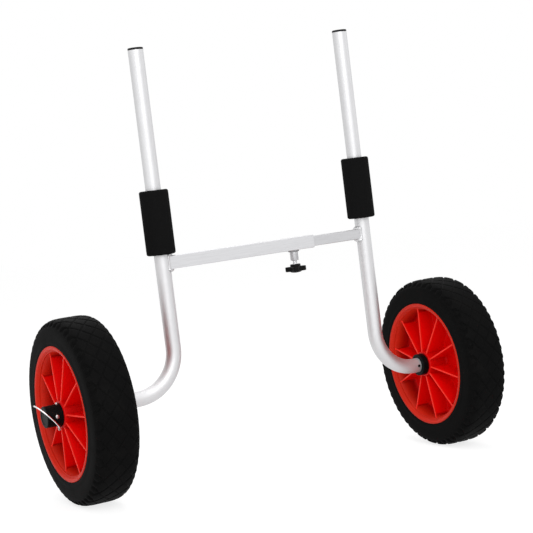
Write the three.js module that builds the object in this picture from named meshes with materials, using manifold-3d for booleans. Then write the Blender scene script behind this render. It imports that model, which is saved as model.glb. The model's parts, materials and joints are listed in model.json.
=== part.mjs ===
// Scupper kayak cart: two bent tube posts, a telescoping crossbar and two solid wheels.
// Millimetres, +X across the cart, +Y to its back, +Z up. It stands on z = 0.
// Both posts are bent from the same length of tube. The right one is bent nearer its lower end,
// so its leg is longer and its stub shorter, and the frame leans a little on its level wheels.
import * as THREE from 'three';
import { mergeVertices } from 'three/addons/utils/BufferGeometryUtils.js';
import Module from 'manifold-3d';

const wasm = await Module();
wasm.setup();

// Driving dimensions
const tubeDiameter = 25.4;
const tubeWall = 2;
const tubeRun = 731.8; // post above the axle line plus stub out to the wheel's middle
const bendRadius = 72;
const postSpacing = 390;
const left = {
  name: 'left', drop: 212, reach: 171, foamBase: 15.6, ribTurnShare: 0.53, turn: Math.PI, frontTurn: 0,
};
const right = {
  name: 'right', drop: 248, reach: 131, foamBase: 28.8, ribTurnShare: 0.85, turn: 0, frontTurn: Math.PI,
};

const rimDiameter = 218;
const tyreHeight = 41; // from the rim's lips to the tread
const tyreWidth = 74;
const rimWidth = 76.4;
const hubWidth = 76;

const barHeight = 22;
const barWall = 2;
const barMouth = 88; // outer bar's open end, from the cart's middle line
const innerBarHeight = 17.4;
const innerBarWall = 1.6;
const barOverlap = 150;
const barCornerRadius = 1.8;

const sleeveDiameter = 35;
const sleeveOverhang = 26.6;
const collarDiameter = 38;
const collarLength = 11.8;

const gap = 0.3; // between solids that touch on the real cart
const overrun = 5; // how far a cutting solid runs past what it cuts

// Finishes
const finish = {
  tube: new THREE.MeshStandardMaterial({ color: 0xd4d5d8, metalness: 0.9, roughness: 0.36 }),
  bar: new THREE.MeshStandardMaterial({ color: 0xc9cacd, metalness: 0.85, roughness: 0.45 }),
  weld: new THREE.MeshStandardMaterial({ color: 0xb9babd, metalness: 0.8, roughness: 0.5 }),
  foam: new THREE.MeshStandardMaterial({ color: 0x161616, metalness: 0, roughness: 0.95 }),
  cap: new THREE.MeshStandardMaterial({ color: 0x0d0d0d, metalness: 0, roughness: 0.5 }),
  nylon: new THREE.MeshStandardMaterial({ color: 0x101011, metalness: 0, roughness: 0.55 }),
  knob: new THREE.MeshStandardMaterial({ color: 0x0b0b0b, metalness: 0, roughness: 0.45 }),
  steel: new THREE.MeshStandardMaterial({ color: 0xd9d9dc, metalness: 1, roughness: 0.22 }),
  rim: new THREE.MeshStandardMaterial({ color: 0xd00a05, metalness: 0, roughness: 0.38 }),
  tyre: new THREE.MeshStandardMaterial({ color: 0x1a1b1c, metalness: 0, roughness: 0.8 }),
};

// A closed geometry as a solid that can be cut and joined
function solid(geometry) {
  const bare = geometry.clone();
  bare.deleteAttribute('normal');
  bare.deleteAttribute('uv');
  const merged = mergeVertices(bare);
  const vertProperties = new Float32Array(merged.attributes.position.array);
  const triVerts = new Uint32Array(merged.index.array);
  return new wasm.Manifold(new wasm.Mesh({ numProp: 3, vertProperties, triVerts }));
}

// The surface of a solid as a geometry
function surface(body) {
  const mesh = body.getMesh();
  const geometry = new THREE.BufferGeometry();
  geometry.setAttribute('position', new THREE.BufferAttribute(mesh.vertProperties, 3));
  geometry.setIndex(new THREE.BufferAttribute(mesh.triVerts, 1));
  geometry.computeVertexNormals();
  return geometry;
}

function piece(name, geometry, material, parent) {
  const mesh = new THREE.Mesh(geometry, material);
  mesh.name = name;
  parent.add(mesh);
  return mesh;
}

// A turned solid about X from [radius, x] pairs; it starts and ends on the axis or closes on itself
function turned(profile, segments) {
  const points = profile.map(([radius, x]) => new THREE.Vector2(radius, x));
  const closed = profile[0][0] > 0 ? [...points, points[0].clone()] : points;
  return new THREE.LatheGeometry(closed, segments).rotateZ(-Math.PI / 2);
}

// A round bar along X from one x to another
function barX(radius, from, to, segments) {
  return turned([[0, from], [radius, from], [radius, to], [0, to]], segments);
}

// The same along Z and along Y
function barZ(radius, from, to, segments) {
  return barX(radius, from, to, segments).rotateY(-Math.PI / 2);
}
function barY(radius, from, to, segments) {
  return barX(radius, from, to, segments).rotateZ(Math.PI / 2);
}

// Posts

const tubeSides = 24;
const bendSteps = 8;

// Centre line of a bent tube: down the post, round the bend and out along the stub.
// Its stations are one to each straight run and evenly spaced in the bend.
class BentLine extends THREE.Curve {
  constructor(top, end) {
    super();
    this.top = top;
    this.end = end;
    this.stations = bendSteps + 2;
  }

  turnAt(share) {
    const station = share * this.stations;
    return (Math.min(Math.max(station - 1, 0), bendSteps) / bendSteps) * (Math.PI / 2);
  }

  getPointAt(share, target = new THREE.Vector3()) {
    if (share <= 0) return target.set(0, 0, this.top);
    if (share >= 1) return target.set(this.end, 0, 0);
    const turn = this.turnAt(share);
    return target.set(bendRadius * (1 - Math.cos(turn)), 0, bendRadius * (1 - Math.sin(turn)));
  }

  getTangentAt(share, target = new THREE.Vector3()) {
    const turn = this.turnAt(share);
    return target.set(Math.sin(turn), 0, -Math.cos(turn));
  }
}

function tubeSection() {
  const shape = new THREE.Shape().absarc(0, 0, tubeDiameter / 2, 0, 2 * Math.PI, false);
  shape.holes.push(new THREE.Path().absarc(0, 0, tubeDiameter / 2 - tubeWall, 0, 2 * Math.PI, true));
  return shape;
}

const pin = { diameter: 4.4, hole: 5.2, headDiameter: 6, headThick: 2.2, tip: 2.6 };
const pinX = hubWidth / 2 + gap + pin.headDiameter / 2;
const rivet = { head: 6.4, height: 1.5, shank: 3.6, offset: 7.2 };
const rivetX = pinX + rivet.offset;
const stopRivet = { head: 4.8, height: 1.3, shank: 3, offset: 5.2 };
const stopRivetX = -hubWidth / 2 - gap - collarLength - stopRivet.offset;

function postTube(side) {
  const line = new BentLine(tubeRun - side.reach, side.reach + tubeEnd());
  const blank = solid(new THREE.ExtrudeGeometry(tubeSection(), {
    steps: line.stations, curveSegments: tubeSides / 2, bevelEnabled: false, extrudePath: line,
  }));
  const across = tubeDiameter / 2 + overrun;
  const pinHole = solid(barZ(pin.hole / 2, -across, across, 16).translate(side.reach + pinX, 0, 0));
  const rivetHole = frontHole(rivet, side).translate(side.reach + rivetX, 0, 0);
  const stopHole = frontHole(stopRivet, side).translate(side.reach + stopRivetX, 0, 0);
  return surface(blank.subtract(pinHole).subtract(solid(rivetHole)).subtract(solid(stopHole)));
}

// Plastic plug with a thin rounded flange that closes a post's top
const cap = { thick: 3.7, rounding: 1.2, plug: 14 };

function postCap() {
  const radius = tubeDiameter / 2;
  const plugRadius = radius - tubeWall - gap;
  return turned([
    [0, -cap.plug], [plugRadius, -cap.plug], [plugRadius, gap], [radius, gap],
    [radius, cap.thick - cap.rounding], [radius - cap.rounding, cap.thick], [0, cap.thick],
  ], 32).rotateY(-Math.PI / 2);
}

// Foam sleeve that cushions the hull, pushed over the post
const foam = { diameter: 46.6, length: 104, rounding: 3.4 };

function foamSleeve() {
  const inner = tubeDiameter / 2 + gap;
  const outer = foam.diameter / 2;
  const shoulder = outer - foam.rounding;
  const profile = [[inner, 0], [shoulder, 0]];
  for (const turn of [30, 60, 90]) {
    const angle = THREE.MathUtils.degToRad(turn);
    profile.push([
      shoulder + foam.rounding * Math.sin(angle), foam.rounding * (1 - Math.cos(angle)),
    ]);
  }
  const upper = profile.slice().reverse().map(([radius, x]) => [radius, foam.length - x]);
  return turned([...profile, ...upper], 32).rotateY(-Math.PI / 2);
}

// Crossbar

// Square tube along X with rounded corners
function squareTube(height, wall, from, to) {
  const section = roundedSquare(new THREE.Shape(), height, barCornerRadius);
  section.holes.push(roundedSquare(new THREE.Path(), height - 2 * wall, barCornerRadius - wall / 2));
  return new THREE.ExtrudeGeometry(section, {
    depth: to - from, bevelEnabled: false, curveSegments: 2,
  }).rotateY(Math.PI / 2).translate(from, 0, 0);
}

function roundedSquare(outline, size, radius) {
  const edge = size / 2;
  const flat = edge - radius;
  outline.moveTo(edge, -flat);
  outline.absarc(flat, flat, radius, 0, Math.PI / 2, false);
  outline.absarc(-flat, flat, radius, Math.PI / 2, Math.PI, false);
  outline.absarc(-flat, -flat, radius, Math.PI, 1.5 * Math.PI, false);
  outline.absarc(flat, -flat, radius, 1.5 * Math.PI, 2 * Math.PI, false);
  return outline;
}

// What a post takes out of a bar or bead that is fitted round it
function postCut(x) {
  return solid(barZ(tubeDiameter / 2 + gap, -barHeight, barHeight, tubeSides * 2).translate(x, 0, 0));
}

const clampX = 51.7; // clamp screw, from the cart's middle line
const screw = { diameter: 8, tipShort: 1.6 };

function outerBar() {
  const blank = solid(squareTube(barHeight, barWall, -postSpacing / 2, barMouth));
  const screwHole = solid(barZ(screw.diameter / 2 + gap, -barHeight / 2 - overrun, 0, 20)
    .translate(clampX, 0, 0));
  return surface(blank.subtract(postCut(-postSpacing / 2)).subtract(screwHole));
}

function innerBar() {
  const blank = solid(squareTube(innerBarHeight, innerBarWall, barMouth - barOverlap, postSpacing / 2));
  return surface(blank.subtract(postCut(postSpacing / 2)));
}

// Fillet weld round a bar's end: a tapered block that the bar and the post are cut out of
const bead = { run: 17.5, rise: 3.6, lip: 0.9 };

function weldBead(postX, towards, height) {
  const wide = (height / 2 + bead.rise) * Math.SQRT2;
  const narrow = (height / 2 + bead.lip) * Math.SQRT2;
  const block = new THREE.CylinderGeometry(narrow, wide, bead.run, 4, 1)
    .rotateY(Math.PI / 4).rotateZ(-towards * Math.PI / 2)
    .translate(postX + towards * bead.run / 2, 0, 0);
  const depthShare = (tubeDiameter / 2) / (height / 2 + bead.rise);
  block.scale(1, Math.min(1, depthShare), 1);
  const bar = new THREE.BoxGeometry(2 * bead.run, height + 2 * gap, height + 2 * gap)
    .translate(postX + towards * bead.run, 0, 0);
  return surface(solid(block).subtract(solid(bar)).subtract(postCut(postX)));
}

// Clamp under the outer bar: threaded boss, its weld, the screw, its pad and the star knob

const boss = { diameter: 14, length: 17, weldDiameter: 19.4, weldDrop: 4.4 };

function clampBoss() {
  const top = -barHeight / 2 - gap;
  const outer = boss.diameter / 2;
  const inner = screw.diameter / 2 + gap;
  return turned([
    [inner, top - boss.length], [outer, top - boss.length], [outer, top], [inner, top],
  ], 24).rotateY(-Math.PI / 2).translate(clampX, 0, 0);
}

function bossWeld() {
  const top = -barHeight / 2 - gap;
  const inner = boss.diameter / 2 + gap;
  const middle = (boss.weldDiameter + boss.diameter) / 4;
  return turned([
    [inner, top - boss.weldDrop], [middle, top - boss.weldDrop / 2], [boss.weldDiameter / 2, top],
    [inner, top],
  ], 24).rotateY(-Math.PI / 2).translate(clampX, 0, 0);
}

const pad = { diameter: 5.6, thick: 1.2 };
const knob = {
  collarDiameter: 17.8, collarHeight: 4, diameter: 35.6, height: 8.2, dome: 2.6, neck: 6.6,
  lobes: 4, waistShare: 0.6, edge: 1.1, socket: 8,
};
const padTop = -innerBarHeight / 2 - gap;
const screwTip = padTop - pad.thick - gap;
const knobTop = -barHeight / 2 - gap - boss.length - knob.neck;
const knobTurnShare = -0.08; // of a full turn, as the photograph shows it

function clampPad() {
  return barZ(pad.diameter / 2, padTop - pad.thick, padTop, 16);
}

function clampScrew() {
  const bottom = knobTop - knob.socket + gap;
  const radius = screw.diameter / 2;
  return turned([
    [0, bottom], [radius, bottom], [radius, screwTip - screw.tipShort],
    [pad.diameter / 2, screwTip], [0, screwTip],
  ], 20).rotateY(-Math.PI / 2);
}

function clampKnob() {
  const outer = knob.diameter / 2 - knob.edge;
  const middle = outer * (1 + knob.waistShare) / 2;
  const swing = outer * (1 - knob.waistShare) / 2;
  const outline = [];
  for (let step = 0; step < 48; step += 1) {
    const angle = (step / 48) * 2 * Math.PI;
    const radius = middle + swing * Math.cos(knob.lobes * angle);
    outline.push(new THREE.Vector2(radius * Math.cos(angle), radius * Math.sin(angle)));
  }
  const lobes = new THREE.ExtrudeGeometry(new THREE.Shape(outline), {
    depth: knob.height - 2 * knob.edge, bevelEnabled: true, bevelThickness: knob.edge,
    bevelSize: knob.edge, bevelSegments: 2,
  }).translate(0, 0, knobTop - knob.collarHeight - knob.height + knob.edge);
  const collar = barZ(knob.collarDiameter / 2, knobTop - knob.collarHeight - knob.edge, knobTop, 28);
  const domeTop = knobTop - knob.collarHeight - knob.height + knob.edge;
  const domeRadius = outer * knob.waistShare;
  const dome = turned([
    [0, domeTop - knob.edge - knob.dome], [domeRadius / 2, domeTop - knob.edge - 0.8 * knob.dome],
    [domeRadius, domeTop - knob.edge], [domeRadius, domeTop], [0, domeTop],
  ], 28).rotateY(-Math.PI / 2);
  const socket = barZ(screw.diameter / 2 + gap, knobTop - knob.socket, knobTop + overrun, 20);
  return surface(solid(lobes).add(solid(collar)).add(solid(dome)).subtract(solid(socket)));
}

// Axle end: collar, sleeve, rivets, lock pin and its wire bow, about X with the wheel's middle at 0

const sleeveEndWall = 3;

function tubeEnd() {
  return hubWidth / 2 + sleeveOverhang - sleeveEndWall - gap;
}

function axleCollar() {
  const inner = tubeDiameter / 2 + gap;
  const from = -hubWidth / 2 - gap - collarLength;
  const to = -hubWidth / 2 - gap;
  const outer = collarDiameter / 2;
  const chamfer = (collarDiameter - sleeveDiameter) / 3;
  return turned([
    [inner, from], [outer - chamfer, from], [outer, from + chamfer], [outer, to], [inner, to],
  ], 36);
}

function axleSleeve(side) {
  const inner = tubeDiameter / 2 + gap;
  const outer = sleeveDiameter / 2;
  const end = hubWidth / 2 + sleeveOverhang;
  const chamfer = sleeveEndWall / 3;
  const blank = solid(turned([
    [0, end - sleeveEndWall], [inner, end - sleeveEndWall], [inner, -hubWidth / 2],
    [outer, -hubWidth / 2], [outer, end - chamfer], [outer - chamfer, end], [0, end],
  ], 36));
  const pinHole = solid(barZ(pin.hole / 2, -outer - overrun, outer + overrun, 16).translate(pinX, 0, 0));
  const rivetHole = frontHole(rivet, side).translate(rivetX, 0, 0);
  return surface(blank.subtract(pinHole).subtract(solid(rivetHole)));
}

// The hole for a rivet in the cart's front, from the axle's middle outwards
function frontHole(size, side) {
  return barY(size.shank / 2 + gap, 0, sleeveDiameter / 2 + overrun, 12).rotateX(side.frontTurn);
}

// A blind rivet with a domed head that seats at a given height on a round part, at its front
function blindRivet(size, seat, grip, side) {
  const rim = seat + gap;
  return turned([
    [0, seat - grip], [size.shank / 2, seat - grip], [size.shank / 2, rim], [size.head / 2, rim],
    [size.head / 2, rim + 0.4 * size.height], [size.head / 3, rim + size.height],
    [size.head / 8, rim + size.height], [size.head / 8, rim + 0.5 * size.height],
    [0, rim + 0.5 * size.height],
  ], 16).rotateZ(Math.PI / 2).rotateX(side.frontTurn);
}

// The lock pin: tip above the sleeve, head under it and an eyed end for the bow
const eye = { drop: 5.2, hole: 3.4 };
const pinHeadTop = -sleeveDiameter / 2 - gap;
const eyeZ = pinHeadTop - pin.headThick - eye.drop / 2;

function lockPin() {
  const radius = pin.diameter / 2;
  const tip = sleeveDiameter / 2 + pin.tip;
  const body = turned([
    [0, eyeZ - eye.drop / 2], [radius, eyeZ - eye.drop / 2], [radius, pinHeadTop - pin.headThick],
    [pin.headDiameter / 2, pinHeadTop - pin.headThick], [pin.headDiameter / 2, pinHeadTop],
    [radius, pinHeadTop], [radius, tip - radius / 2], [radius / 2, tip], [0, tip],
  ], 18).rotateY(-Math.PI / 2);
  const hole = barY(eye.hole / 2, -radius - overrun, radius + overrun, 14).translate(0, 0, eyeZ);
  return surface(solid(body).subtract(solid(hole)));
}

// The wire bow: from a tail through the pin's eye it arches round the sleeve to a free end that
// snaps over the pin's tip. It is drawn about the eye, with its chord along +Z and its arch to +Y.
const bow = { wire: 2.4, tail: 4.6, clearance: 1.6, past: 14, outTurnShare: 0.113 };
const bowChord = sleeveDiameter / 2 + pin.tip - eyeZ + bow.past;
const bowReach = sleeveDiameter / 2 + bow.clearance + bow.wire / 2;

class BowLine extends THREE.Curve {
  getPoint(share, target = new THREE.Vector3()) {
    const tailShare = bow.tail / (bow.tail + bowChord);
    if (share < tailShare) return target.set(0, (share / tailShare - 1) * bow.tail, 0);
    const turn = Math.PI * (share - tailShare) / (1 - tailShare);
    return target.set(0, bowReach * Math.sin(turn), bowChord * (1 - Math.cos(turn)) / 2);
  }
}

function pinBow() {
  const section = new THREE.Shape().absarc(0, 0, bow.wire / 2, 0, 2 * Math.PI, false);
  return new THREE.ExtrudeGeometry(section, {
    steps: 26, curveSegments: 4, bevelEnabled: false, extrudePath: new BowLine(),
  });
}

// Wheel, about X with its middle at 0

const barrel = { bedDepth: 9, wall: 4.4, taper: 0.6, lipRounding: 1.6, flange: 4.6, lipWidth: 6 };
const bedRadius = rimDiameter / 2 - barrel.bedDepth;
const web = { thick: 5 };
const hub = { diameter: 48, chamfer: 1.5 };
const ribs = { count: 10, thick: 3, outerSetback: 8, innerSetback: 1.2 };
const wheelSegments = 40;

function wheelRim(turnShare) {
  const half = rimWidth / 2;
  const hubHalf = hubWidth / 2;
  const bore = sleeveDiameter / 2 + gap;
  const outer = rimDiameter / 2;
  const lipInner = outer - barrel.lipWidth;
  const wallRadius = bedRadius - barrel.wall;
  const side = [
    [bedRadius, half - barrel.flange], [outer - barrel.lipRounding, half - barrel.flange],
    [outer, half - barrel.flange + barrel.lipRounding], [outer, half - barrel.lipRounding],
    [outer - barrel.lipRounding, half], [lipInner + barrel.lipRounding, half],
    [lipInner, half - barrel.lipRounding],
    [wallRadius, half - ribs.outerSetback], [wallRadius - barrel.taper, web.thick / 2],
    [hub.diameter / 2, web.thick / 2], [hub.diameter / 2 - hub.chamfer / 2, hubHalf - hub.chamfer],
    [hub.diameter / 2 - hub.chamfer, hubHalf], [bore, hubHalf],
  ];
  const mirrored = side.slice().reverse().map(([radius, x]) => [radius, -x]);
  let body = solid(turned([...side, ...mirrored], wheelSegments));
  const rib = ribPlate();
  for (let index = 0; index < ribs.count; index += 1) {
    body = body.add(solid(rib.clone().rotateX(((index + turnShare) / ribs.count) * 2 * Math.PI)));
  }
  return surface(body);
}

// One rib plate on both sides of the web, its front edges sloping back from the hub to the barrel
function ribPlate() {
  const inner = hub.diameter / 2 - 2 * hub.chamfer;
  const outer = bedRadius - barrel.wall / 2;
  const atHub = hubWidth / 2 - ribs.innerSetback;
  const atBarrel = rimWidth / 2 - ribs.outerSetback;
  const outline = new THREE.Shape([
    new THREE.Vector2(-atHub, inner), new THREE.Vector2(-atBarrel, outer),
    new THREE.Vector2(atBarrel, outer), new THREE.Vector2(atHub, inner),
  ].reverse());
  return new THREE.ExtrudeGeometry(outline, { depth: ribs.thick, bevelEnabled: false })
    .translate(0, 0, -ribs.thick / 2).rotateX(Math.PI / 2);
}

// Solid tyre: its bead between the flanges, its walls and crown a squared ellipse
const tyre = { squareness: 4.2, tuck: 1.4, shoulder: 4 };

// Tread: two families of V grooves cross each other and leave diamonds. A row of diamonds is
// rowStep from the next and half a pitch further round, and the grooves run out on the shoulders.
const tread = {
  pitches: 30, rowStep: 12.5, rows: 2, grooveWidth: 4.4, depth: 2.9, runOut: 6.5, wallSteps: 2,
  turnShare: 0.34,
};
const treadSteps = 2 * tread.pitches;

// Half of the tyre's section, from the middle of its crown to its bead
class TyreSection extends THREE.Curve {
  getPoint(share, target = new THREE.Vector2()) {
    const angle = share * Math.PI / 2;
    const power = 2 / tyre.squareness;
    return target.set(
      (tyreWidth / 2) * Math.sin(angle) ** power,
      rimDiameter / 2 + tyre.shoulder + (tyreHeight - tyre.shoulder) * Math.cos(angle) ** power,
    );
  }
}

function treadedTyre() {
  const section = new TyreSection();
  section.arcLengthDivisions = 2000;
  const positions = [];

  // Adds a flat or folded face as a fan; what lies on the inboard half is its mirror image
  function face(corners, mirrored = false) {
    const order = mirrored ? corners.slice().reverse() : corners;
    for (let index = 1; index < order.length - 1; index += 1) {
      for (const corner of [order[0], order[index], order[index + 1]]) positions.push(...corner);
    }
  }

  function onWheel(step, radius, x) {
    const turn = ((step + treadSteps) % treadSteps + 2 * tread.turnShare) * (2 * Math.PI / treadSteps);
    return [x, radius * Math.sin(turn), radius * Math.cos(turn)];
  }

  // A point of the tread at a step round the tyre, a length across it and a depth under its skin
  function skin(step, across, depth = 0) {
    const share = Math.abs(across) / section.getLength();
    const at = section.getPointAt(share);
    const heading = section.getTangentAt(share);
    return onWheel(step, at.y - heading.x * depth, Math.sign(across) * (at.x + heading.y * depth));
  }

  const pitchLength = Math.PI * (rimDiameter + 2 * tyreHeight) / tread.pitches;
  const grooveSpacing = 2 * tread.rowStep * pitchLength / Math.hypot(2 * tread.rowStep, pitchLength);
  const reach = 0.5 - tread.grooveWidth / 2 / grooveSpacing; // a diamond's half size, in pitches
  const up = 2 * tread.rowStep * reach;
  const runOutAt = (tread.rows + 1) * tread.rowStep + tread.runOut;

  for (let step = 0; step < treadSteps; step += 1) {
    for (let row = -tread.rows - 1; row <= tread.rows + 1; row += 1) {
      if ((step + row) % 2 !== 0) continue;
      const edge = Math.abs(row) > tread.rows;
      const mirrored = row === -tread.rows - 1;
      const middle = (mirrored ? -1 : 1) * row * tread.rowStep;
      const at = (offset, across, depth) => skin(step + offset, (mirrored ? -1 : 1) * across, depth);
      const [upper, lower] = [at(0, middle + up), at(0, middle - up)];
      const [ahead, behind] = [at(2 * reach, middle), at(-2 * reach, middle)];
      const deepLower = at(0, middle - tread.rowStep, tread.depth);
      const [deepAhead, deepBehind] = [at(1, middle, tread.depth), at(-1, middle, tread.depth)];
      face([lower, ahead, deepAhead, deepLower], mirrored);
      face([behind, lower, deepLower, deepBehind], mirrored);
      if (edge) {
        const [out, outAhead, outBehind] = [at(0, runOutAt), at(1, runOutAt), at(-1, runOutAt)];
        face([ahead, lower, behind], mirrored);
        face([out, ahead, behind], mirrored);
        face([out, outAhead, deepAhead, ahead], mirrored);
        face([out, behind, deepBehind, outBehind], mirrored);
        continue;
      }
      const deepUpper = at(0, middle + tread.rowStep, tread.depth);
      const top = at(0, middle);
      face([ahead, upper, deepUpper, deepAhead]);
      face([upper, behind, deepBehind, deepUpper]);
      for (const pair of [[upper, ahead], [ahead, lower], [lower, behind], [behind, upper]]) {
        face([top, ...pair]);
      }
    }
  }

  // Walls and bead, ring by ring from the outboard shoulder round to the inboard one
  const wall = section.getLength() - runOutAt;
  const flange = rimWidth / 2 - barrel.flange - gap;
  const overLip = rimDiameter / 2 + gap;
  const bead = [
    [overLip, tyreWidth / 2 - tyre.tuck], [overLip, flange], [bedRadius + gap, flange],
  ];
  const rings = [];
  for (let step = 0; step <= tread.wallSteps; step += 1) {
    const across = runOutAt + (step / tread.wallSteps) * wall;
    rings.push((around, side) => skin(around, side * across));
  }
  for (const [radius, x] of bead) rings.push((around, side) => onWheel(around, radius, side * x));
  const round = [
    ...rings.map((ring) => [ring, 1]), ...rings.slice().reverse().map((ring) => [ring, -1]),
  ];
  for (let index = 0; index < round.length - 1; index += 1) {
    const [[here, side], [next, nextSide]] = [round[index], round[index + 1]];
    for (let step = 0; step < treadSteps; step += 1) {
      face([next(step, nextSide), next(step + 1, nextSide), here(step + 1, side), here(step, side)]);
    }
  }
  const geometry = new THREE.BufferGeometry();
  geometry.setAttribute('position', new THREE.Float32BufferAttribute(positions, 3));
  return surface(solid(geometry));
}

// One side of the cart. Its group sits where the post's and the axle's centre lines cross,
// with +X outboard.
function buildSide(side, frame) {
  const group = new THREE.Group();
  group.position.set(Math.cos(side.turn) * postSpacing / 2, 0, -side.drop);
  group.rotation.z = side.turn;
  frame.add(group);

  piece(`${side.name}_post_tube`, postTube(side), finish.tube, group);
  piece(`${side.name}_post_cap`, postCap(), finish.cap, group).position.z = tubeRun - side.reach;
  piece(`${side.name}_foam_sleeve`, foamSleeve(), finish.foam, group)
    .position.z = side.drop + side.foamBase;

  const axle = new THREE.Group();
  axle.position.x = side.reach;
  group.add(axle);
  piece(`${side.name}_axle_collar`, axleCollar(), finish.nylon, axle);
  piece(`${side.name}_axle_sleeve`, axleSleeve(side), finish.nylon, axle);
  const sleeveGrip = (sleeveDiameter - tubeDiameter) / 2 + tubeWall;
  const sleeveRivet = blindRivet(rivet, sleeveDiameter / 2, sleeveGrip, side);
  piece(`${side.name}_sleeve_rivet`, sleeveRivet, finish.steel, axle).position.x = rivetX;
  const postRivet = blindRivet(stopRivet, tubeDiameter / 2, tubeWall, side);
  piece(`${side.name}_stop_rivet`, postRivet, finish.nylon, axle).position.x = stopRivetX;

  piece(`${side.name}_wheel_rim`, wheelRim(side.ribTurnShare), finish.rim, axle);
  piece(`${side.name}_tyre`, treadedTyre(), finish.tyre, axle);

  piece(`${side.name}_lock_pin`, lockPin(), finish.steel, axle).position.x = pinX;
  const wire = piece(`${side.name}_pin_bow`, pinBow(), finish.steel, axle);
  wire.position.set(pinX, 0, eyeZ);
  wire.rotation.y = bow.outTurnShare * 2 * Math.PI;
}

const frame = new THREE.Group();
buildSide(left, frame);
buildSide(right, frame);
piece('outer_crossbar', outerBar(), finish.bar, frame);
piece('inner_crossbar', innerBar(), finish.bar, frame);
piece('left_crossbar_weld', weldBead(-postSpacing / 2, 1, barHeight), finish.weld, frame);
piece('right_crossbar_weld', weldBead(postSpacing / 2, -1, innerBarHeight), finish.weld, frame);
piece('clamp_boss', clampBoss(), finish.bar, frame);
piece('clamp_boss_weld', bossWeld(), finish.weld, frame);
piece('clamp_pad', clampPad(), finish.nylon, frame).position.x = clampX;
piece('clamp_screw', clampScrew(), finish.steel, frame).position.x = clampX;
const star = piece('clamp_knob', clampKnob(), finish.knob, frame);
star.position.x = clampX;
star.rotation.z = knobTurnShare * 2 * Math.PI;

// The wheels' middles are level when the cart stands, which leans the frame
const wheelSpacing = postSpacing + left.reach + right.reach;
frame.rotation.y = -Math.atan2(right.drop - left.drop, wheelSpacing);

// The cart stands on z = 0 with the middle of its box over the origin
const cart = new THREE.Group();
cart.add(frame);
const box = new THREE.Box3().setFromObject(cart, true);
frame.position.set(-(box.min.x + box.max.x) / 2, -(box.min.y + box.max.y) / 2, -box.min.z);

export default cart;
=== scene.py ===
# Scupper kayak cart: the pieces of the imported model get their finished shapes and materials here. Only the
# clamp's pad, which nothing shows, keeps its solid and just gets a material.
# Sizes are millimetres in each piece's own dictionary, and toRow turns them into the model's metres.
import json

import bpy
import numpy as np
from mathutils import Matrix


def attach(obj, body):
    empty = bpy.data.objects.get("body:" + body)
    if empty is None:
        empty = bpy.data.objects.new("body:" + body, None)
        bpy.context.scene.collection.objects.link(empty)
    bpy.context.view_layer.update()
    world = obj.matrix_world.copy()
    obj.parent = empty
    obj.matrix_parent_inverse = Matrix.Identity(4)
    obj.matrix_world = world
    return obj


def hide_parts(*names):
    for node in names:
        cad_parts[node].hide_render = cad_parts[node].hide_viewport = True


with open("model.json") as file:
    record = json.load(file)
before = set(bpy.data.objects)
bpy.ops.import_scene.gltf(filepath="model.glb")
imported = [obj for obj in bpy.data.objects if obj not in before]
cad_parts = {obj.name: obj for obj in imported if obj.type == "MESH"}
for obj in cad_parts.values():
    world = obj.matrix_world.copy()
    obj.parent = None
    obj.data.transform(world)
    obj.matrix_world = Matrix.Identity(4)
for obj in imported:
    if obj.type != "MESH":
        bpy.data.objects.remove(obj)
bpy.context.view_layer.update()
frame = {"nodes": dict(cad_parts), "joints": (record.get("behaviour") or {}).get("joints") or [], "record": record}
joints = {joint["name"]: joint for joint in frame["joints"]}
bodyOf = {node: body for body, nodes in frame["record"]["behaviour"]["bodies"].items() for node in nodes}
print("frame loaded:", len(frame["nodes"]), "nodes")

# Lengths between middle lines: post to post, crossbar above each axle, post to wheel, whole unbent tube
cart = {"postGap": 390, "leftDrop": 212, "rightDrop": 248, "leftReach": 171, "rightReach": 131,
        "leftFoamBase": 15.6, "rightFoamBase": 28.8, "tubeRun": 731.8}


class Place:  # a point and three directions that a piece is built in
    def __init__(self, origin, axes):
        self.origin, self.axes = np.array(origin, float), np.array(axes, float)

    def toRow(self, points):  # origin + x * first axis + y * second + z * third
        return self.origin + np.asarray(points, float) @ self.axes / 1000

    def moved(self, x, y, z):
        return Place(self.toRow((x, y, z)), self.axes)


# The cart leans a little on its wheels, so its own axes come from the crossbar's joint
acrossCart = np.array(joints["bar_slide"]["axis"], float)
acrossCart /= np.linalg.norm(acrossCart)
toBack = np.array([0.0, 1.0, 0.0])
upPosts = np.cross(acrossCart, toBack)
leftWheel = Place(joints["left_wheel_spin"]["pos_m"], [acrossCart, toBack, upPosts])
barPlace = leftWheel.moved(cart["leftReach"] + cart["postGap"] / 2, 0, cart["leftDrop"])


def elbow(side, outboard):
    # Where the middle lines of a post and its axle cross, with axes outboard, to the back and up
    origin = barPlace.toRow((outboard * cart["postGap"] / 2, 0, -cart[side + "Drop"]))
    return Place(origin, [outboard * acrossCart, toBack, upPosts])


sidePlace = {"left": elbow("left", -1), "right": elbow("right", 1)}
axlePlace = {side: sidePlace[side].moved(cart[side + "Reach"], 0, 0) for side in sidePlace}


# Shader maths
class Signal:  # a value in a node tree, with the arithmetic that the materials use
    def __init__(self, graph, socket):
        self.graph, self.socket = graph, socket

    def maths(self, operation, *values):
        return self.graph.node("ShaderNodeMath", {"operation": operation}, dict(enumerate(values)))

    def __add__(self, other):
        return self.maths("ADD", self, other)

    def __radd__(self, other):
        return self.maths("ADD", other, self)

    def __mul__(self, other):
        return self.maths("MULTIPLY", self, other)

    def __rmul__(self, other):
        return self.maths("MULTIPLY", other, self)

    def ramp(self, low, high):  # 0 below low, 1 above high, smooth between
        return self.graph.node("ShaderNodeMapRange", {"interpolation_type": "SMOOTHSTEP"},
                               {"Value": self, "From Min": low, "From Max": high})


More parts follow.
